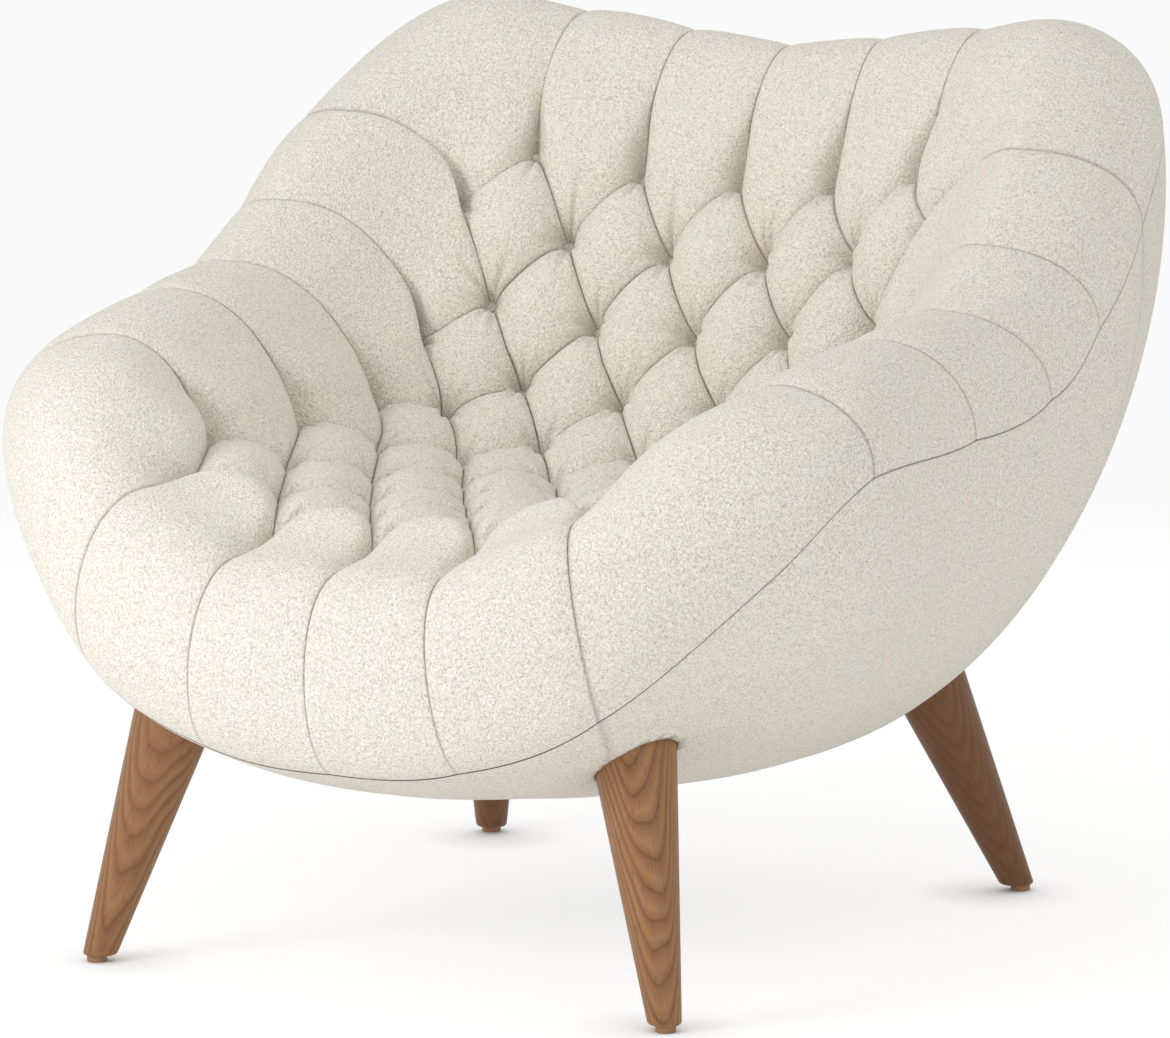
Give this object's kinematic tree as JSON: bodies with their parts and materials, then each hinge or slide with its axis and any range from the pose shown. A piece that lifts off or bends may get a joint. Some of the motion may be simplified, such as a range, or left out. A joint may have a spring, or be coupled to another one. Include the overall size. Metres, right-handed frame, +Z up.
{
  "type": "easy chair",
  "caption": "Low tub easy chair with a diamond-tufted seat and back, a thick channelled roll all round and splayed turned wooden legs, for sitting in",
  "frame": {"origin": "on the floor, under the middle of the chair's width and depth", "axes": "+X to the right of a person who faces the chair from the front, +Y from the front of the seat to the back, +Z up; the front of the chair faces -Y"},
  "size_m": [0.9096, 0.9722, 0.805],
  "materials": {
    "cover": "matt looped wool in oatmeal with fine grey and tan flecks",
    "leg_wood": "oiled walnut, satin",
    "frame_wood": "sawn beech, unfinished",
    "frame_steel": "dull grey paint",
    "webbing": "woven elastic webbing",
    "foam": "open foam, dull",
    "dust_cloth": "thin black non-woven cloth",
    "glide_plastic": "dark brown nylon"
  },
  "bodies": {
    "root": {"seat_pad": "cover", "back_pad": "cover", "front_roll": "cover", "right_arm_roll": "cover", "left_arm_roll": "cover", "back_roll": "cover", "upper_back_buttons": "cover", "lower_back_buttons": "cover", "seat_buttons": "cover", "front_buttons": "cover", "outside_front": "cover", "outside_right": "cover", "outside_left": "cover", "outside_back": "cover", "underside_panel": "dust_cloth", "seat_foam": "foam", "seat_straps": "webbing", "rim_tube": "frame_steel", "arm_posts": "frame_steel", "back_posts": "frame_steel", "front_rail": "frame_wood", "back_rail": "frame_wood", "right_side_rail": "frame_wood", "left_side_rail": "frame_wood", "front_right_block": "frame_wood", "front_left_block": "frame_wood", "back_right_block": "frame_wood", "back_left_block": "frame_wood", "leg_inserts": "frame_steel", "leg_bolts": "frame_steel", "front_right_leg": "leg_wood", "front_left_leg": "leg_wood", "back_right_leg": "leg_wood", "back_left_leg": "leg_wood", "glides": "glide_plastic"}
  },
  "joints": []
}
